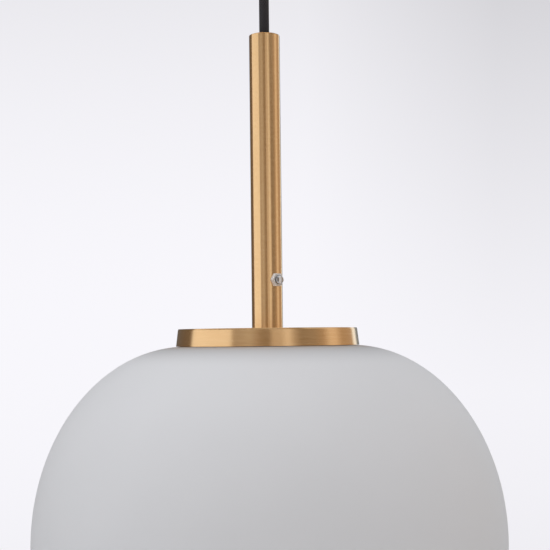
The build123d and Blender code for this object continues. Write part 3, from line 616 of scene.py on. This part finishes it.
def cord_lock_screw():
    """Domed head with a straight slot, on a threaded M4 shank."""
    edge = 0.3 * MM
    dome = 0.52 * MM
    shoulder = LOCK_HEAD_HEIGHT - dome - edge
    rows = [(0, LOCK_SHANK_START)]
    rows += thread_rows(
        LOCK_SHANK_RADIUS, LOCK_SHANK_RADIUS - 0.3 * MM, LOCK_SHANK_START, LOCK_HEAD_START, M4_PITCH, 0.7 * MM
    )
    rows += [(LOCK_HEAD_RADIUS - 0.1 * MM, LOCK_HEAD_START + 0.02 * MM)]
    rows += [(LOCK_HEAD_RADIUS, LOCK_HEAD_START + 0.12 * MM)]
    rows += arc((LOCK_HEAD_RADIUS - edge, LOCK_HEAD_START + shoulder), (edge, edge), 0, 65, 6)
    face = LOCK_HEAD_RADIUS - edge * (1 - cos(radians(65)))
    base = LOCK_HEAD_START + shoulder + edge * sin(radians(65))
    rise = LOCK_HEAD_START + LOCK_HEAD_HEIGHT - base
    for step in range(1, 11):
        radius = face * (1 - step / 10)
        rows.append((radius, base + rise * (1 - (radius / face) ** 2)))
    screw = around_axis("cord_lock_screw", rows, 64, sharp=30)
    reach = 2 * LOCK_HEAD_RADIUS
    half = LOCK_SLOT_WIDTH / 2
    top = LOCK_HEAD_START + LOCK_HEAD_HEIGHT
    cut_box(screw, (-reach, -half, top - LOCK_SLOT_DEPTH), (reach, half, top + 1 * MM))
    finish_piece(screw, "cord_lock_screw", "polished_chrome", "lock_screw")
    screw.data.materials.append(SLOT_FLOOR_PAINTED_GLINT)
    screw.data.materials.append(HEAD_SIDE_PAINTED_SHADE)
    screw.data.materials.append(SLOT_WALL_PAINTED_GLINT)
    floor = top - LOCK_SLOT_DEPTH
    # the slot's floor and walls take the painted glint, and the head's side takes the painted shade
    for polygon in screw.data.polygons:
        if abs(polygon.center.z - floor) < 0.02 * MM and abs(polygon.normal.z) > 0.9:
            polygon.material_index = 1
        elif abs(abs(polygon.center.y) - half) < 0.02 * MM and abs(polygon.normal.y) > 0.9:
            polygon.material_index = 3
        elif polygon.center.z > LOCK_HEAD_START and polygon.normal.z < 0.5:
            polygon.material_index = 2
    screw.data.transform(lock_frame())


cord_lock_screw()


# ---------------------------------------------------------------- knurled and threaded pieces
def gland_cap():
    """The cord gland's knurled cap, which ends in a smooth cone round the cord."""
    low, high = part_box("gland_cap")
    radius, top, mouth = high.x, high.z, low.z
    ribs = 48
    depth = 0.35 * MM

    def knurl(turn, scale=1.0):
        return radius - depth * scale * (0.5 - 0.5 * cos(ribs * turn))

    rows = [
        (5.2 * MM, mouth),
        (7.0 * MM, mouth),
        (7.6 * MM, mouth + 0.6 * MM),
        (7.9 * MM, mouth + 1.3 * MM),
        (7.9 * MM, mouth + 2.0 * MM),
        (knurl, mouth + 2.4 * MM),
        (knurl, top - 1.0 * MM),
        (8.0 * MM, top - 0.6 * MM),
        (8.0 * MM, top),
        (6.1 * MM, top),
        (6.1 * MM, mouth + 4.9 * MM),
        (5.6 * MM, mouth + 4.9 * MM),
        (4.8 * MM, mouth + 1.9 * MM),
        (3.8 * MM, mouth + 1.9 * MM),
        (3.8 * MM, mouth + 1.5 * MM),
    ]
    cap = around_axis("gland_cap_knurled", rows, ribs * 8, sharp=40)
    finish_piece(cap, body_of("gland_cap"), "satin_brass", "gland_cap")


def thumb_screw(side, sign):
    """A knurled thumb screw with a slot and an M4 thread, its axis along X."""
    name = "canopy_screw_" + side
    low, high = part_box(name)
    outer = high.x if sign > 0 else -low.x
    inner = low.x if sign > 0 else -high.x
    radius = high.y
    length = 4.0 * MM
    start = outer - length
    ribs = 36

    def knurl(turn):
        return radius - 0.3 * MM * (0.5 - 0.5 * cos(ribs * turn))

    rows = [(0, inner)]
    rows += thread_rows(2.0 * MM, 1.7 * MM, inner, start, M4_PITCH, 0.7 * MM)
    rows += [
        (radius - 0.6 * MM, start + 0.01 * MM),
        (knurl, start + 0.45 * MM),
        (knurl, outer - 0.6 * MM),
        (radius - 0.7 * MM, outer - 0.15 * MM),
        (radius - 1.0 * MM, outer),
        (0, outer),
    ]
    screw = around_axis(name + "_knurled", rows, ribs * 6, sharp=40)
    cut_box(screw, (-2 * radius, -0.5 * MM, outer - 1.2 * MM), (2 * radius, 0.5 * MM, outer + 1 * MM))
    out = Vector((sign, 0, 0))
    across = Vector((0, 1, 0))
    turn = Matrix((across, out.cross(across), out)).transposed()
    centre = (low.z + high.z) / 2
    finish_piece(screw, body_of(name), "satin_brass", name)
    screw.data.transform(Matrix.Translation((0, 0, centre)) @ turn.to_4x4())


def bulb_cap():
    """The bulb's E27 cap: a thin shell rolled into a round thread under a tapered shoulder."""
    low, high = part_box("bulb_cap")
    crest, wall = high.x, 0.5 * MM
    shoulder = high.z - 1.8 * MM
    rows = [(0, high.z), (10.6 * MM, high.z), (11.0 * MM, high.z - 0.2 * MM), (crest - 0.9 * MM, shoulder)]
    root = crest - 0.9 * MM
    thread = thread_rows(crest, root, low.z + 2.2 * MM, shoulder - 0.1 * MM, E27_PITCH, 1.6 * MM)
    rows += thread[::-1]
    rows += [(crest - 0.1 * MM, low.z + 1.6 * MM), (crest - 0.1 * MM, low.z)]
    rows += [(crest - 1.5 * MM, low.z), (crest - 1.5 * MM, high.z - 2.4 * MM)]
    rows += [(10.4 * MM, high.z - wall), (0, high.z - wall)]
    cap = around_axis("bulb_cap_thread", rows[::-1], 120, sharp=40)
    finish_piece(cap, body_of("bulb_cap"), "nickelled_metal", "bulb_cap")


def threaded_nipple():
    """M10 x 1 all-thread tube."""
    low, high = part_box("threaded_nipple")
    outer, bore = high.x, 3.6 * MM
    rows = [(bore, low.z), (outer - 0.6 * MM, low.z)]
    root = outer - 0.55 * MM
    end = 0.05 * MM
    rows += thread_rows(outer, root, low.z + end, high.z - end, M10_PITCH, 0.6 * MM, 10, sharp_crest=True)
    rows += [(outer - 0.6 * MM, high.z), (bore, high.z)]
    nipple = around_axis("nipple_thread", rows, 72, sharp=50)
    finish_piece(nipple, body_of("threaded_nipple"), "brass_fitting", "threaded_nipple")


gland_cap()
thumb_screw("left", -1)
thumb_screw("right", 1)
bulb_cap()
threaded_nipple()


# ---------------------------------------------------------------- canopy edge
CANOPY_EDGE = 1.5 * MM


def round_canopy_edge():
    """Gives the canopy's rounded lower edge its exact normals, which its CAD mesh has only roughly."""
    low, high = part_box("canopy_cup")
    ring = high.x - CANOPY_EDGE
    middle = low.z + CANOPY_EDGE
    slack = 0.02 * MM
    mesh = bpy.data.objects["canopy_cup"].data
    normals = [corner.vector.copy() for corner in mesh.corner_normals]
    for polygon in mesh.polygons:
        found = {}
        for corner in polygon.loop_indices:
            spot = mesh.vertices[mesh.loops[corner].vertex_index].co
            radius = hypot(spot.x, spot.y)
            out, down = radius - ring, spot.z - middle
            on_edge = abs(hypot(out, down) - CANOPY_EDGE) < slack
            if on_edge and out > -slack and down < slack:
                found[corner] = Vector((spot.x / radius * out, spot.y / radius * out, down)).normalized()
        if len(found) == len(polygon.loop_indices):
            polygon.use_smooth = True
        for corner, normal in found.items():
            normals[corner] = normal
    mesh.normals_split_custom_set(normals)


round_canopy_edge()


# ---------------------------------------------------------------- studio
FLOOR_Z = -2.40
FLOOR_RADIUS = 9.0


def make_floor():
    """A pale round floor far below the lamp, which fades out into the pale background."""
    rings = [(0, FLOOR_Z)] + [(FLOOR_RADIUS * step / 12, FLOOR_Z) for step in range(1, 13)]
    floor = around_axis("floor", rings + [(0, FLOOR_Z - 0.01)], 96)
    material, tree, shader = start_material("floor")
    parts = node(tree, "SeparateXYZ", {0: place(tree)})
    x, y = parts.outputs[0], parts.outputs[1]
    radius = distance_from_z(tree, x, y)
    link(tree, remap(tree, radius, FLOOR_RADIUS * 0.5, FLOOR_RADIUS * 0.98, 1.0, 0.0, True), shader, "Alpha")
    shader.inputs["Base Color"].default_value = colour(0.82, 0.82, 0.83)
    shader.inputs["Roughness"].default_value = 0.8
    floor.data.materials.append(material)


# The room round the lamp, set for how the brass looks: degrees from the camera's side
# (positive to the camera's right), brightness, and warmth (1 = warm, below 0 = bluish daylight).
# A wide softbox stands on the left, a narrow one ahead on the right, a window behind the lamp.
ROOM_ROUND = [
    (-180, 0.12, 0.2),
    (-112, 0.18, 0.9),
    (-108, 1.02, 0.0),
    (-48, 1.02, 0.0),
    (-43, 0.42, 0.4),
    (-22, 0.53, 0.2),
    (-8, 0.30, 0.9),
    (2, 0.25, 1.0),
    (7, 0.62, 0.4),
    (17, 0.60, 0.4),
    (26, 0.92, 0.1),
    (33, 0.54, 0.4),
    (43, 0.28, 0.8),
    (60, 0.30, 0.8),
    (74, 0.42, 1.0),
    (86, 0.78, 0.5),
    (95, 0.76, 0.6),
    (108, 0.46, 1.0),
    (134, 0.48, 1.0),
    (138, 1.05, -0.6),
    (147, 1.05, -0.6),
    (151, 0.24, -0.7),
    (180, 0.16, -0.3),
]
ROOM_ABOVE = [
    (-180, 0.12, 0.3),
    (-100, 0.16, 1.0),
    (40, 0.16, 1.0),
    (56, 0.78, -0.1),
    (110, 0.76, -0.1),
    (132, 0.60, 0.0),
    (147, 0.20, 0.0),
    (180, 0.12, 0.3),
]
ROOM_HIGH = [
    (-180, 0.83, 0.0),
    (-48, 0.85, 0.0),
    (-36, 1.30, 0.0),
    (34, 1.30, 0.0),
    (48, 0.15, 0.0),
    (160, 0.15, 0.0),
    (180, 0.80, 0.0),
]
WARM = (1.0, 0.787, 0.59)
CEILING_LIGHT = (1.74, 1.74, 1.78)
FLOOR_LEFT = (0.74, 0.74, 0.74)
FLOOR_RIGHT = (0.08, 0.075, 0.07)


def room_ramp(tree, around, stops):
    """A colour ramp round the lamp from (degrees, brightness, warmth)."""
    ramp = node(tree, "ValToRGB", {0: around})
    elements = ramp.color_ramp.elements
    while len(elements) < len(stops):
        elements.new(0.5)
    for element, (angle, bright, warmth) in zip(elements, stops):
        element.position = angle / 360 + 0.5
        element.color = colour(*(bright * (1 + (tint - 1) * warmth) for tint in WARM))
    return ramp.outputs[0]


def make_world():
    world = bpy.data.worlds.new("studio")
    scene.world = world
    world.use_nodes = True
    tree = world.node_tree
    tree.nodes.clear()
    parts = node(tree, "SeparateXYZ", {0: node(tree, "TexCoord").outputs["Generated"]})
    x, y, z = parts.outputs
    turn = calc(tree, "ARCTAN2", x, calc(tree, "MULTIPLY", y, -1.0))
    around = calc(tree, "MULTIPLY_ADD", turn, 1 / (2 * pi), 0.5)
    level = room_ramp(tree, around, ROOM_ROUND)
    above = room_ramp(tree, around, ROOM_ABOVE)
    high = room_ramp(tree, around, ROOM_HIGH)
    room = blend_colours(tree, remap(tree, z, 0.36, 0.43, 0, 1, True), level, above)
    room = blend_colours(tree, remap(tree, z, 0.58, 0.66, 0, 1, True), room, high)
    room = blend_colours(tree, remap(tree, z, 0.86, 0.90, 0, 1, True), room, colour(*CEILING_LIGHT))
    ground = blend_colours(tree, remap(tree, x, -0.6, 0.6, 0, 1), colour(*FLOOR_LEFT), colour(*FLOOR_RIGHT))
    room = blend_colours(tree, remap(tree, z, -0.2, -0.5, 0, 1, True), room, ground)
    light = node(tree, "Background", {0: room, 1: 1.0})

    # the pale wall behind the lamp, which only the camera sees: darker upwards and to the right
    fall = calc(tree, "MULTIPLY", calc(tree, "MULTIPLY", z, z), -1.4)
    wall = calc(tree, "MAXIMUM", calc(tree, "ADD", fall, 0.94), 0.62)
    corner = calc(tree, "MULTIPLY", remap(tree, x, 0.03, 0.19, 0, 1), remap(tree, z, -0.05, 0.28, 0.03, 0.19))
    shade = calc(tree, "MULTIPLY", wall, calc(tree, "SUBTRACT", 1.0, corner))
    tint = node(tree, "VectorMath", {0: (1.0, 0.99, 1.035), "Scale": shade}, operation="SCALE").outputs[0]
    backdrop = node(tree, "Background", {0: tint, 1: 1.0})
    seen = node(tree, "LightPath").outputs["Is Camera Ray"]
    mixed = node(tree, "MixShader", {0: seen, 1: light.outputs[0], 2: backdrop.outputs[0]})
    out = node(tree, "OutputWorld")
    tree.links.new(mixed.outputs[0], out.inputs[0])


make_floor()
make_world()
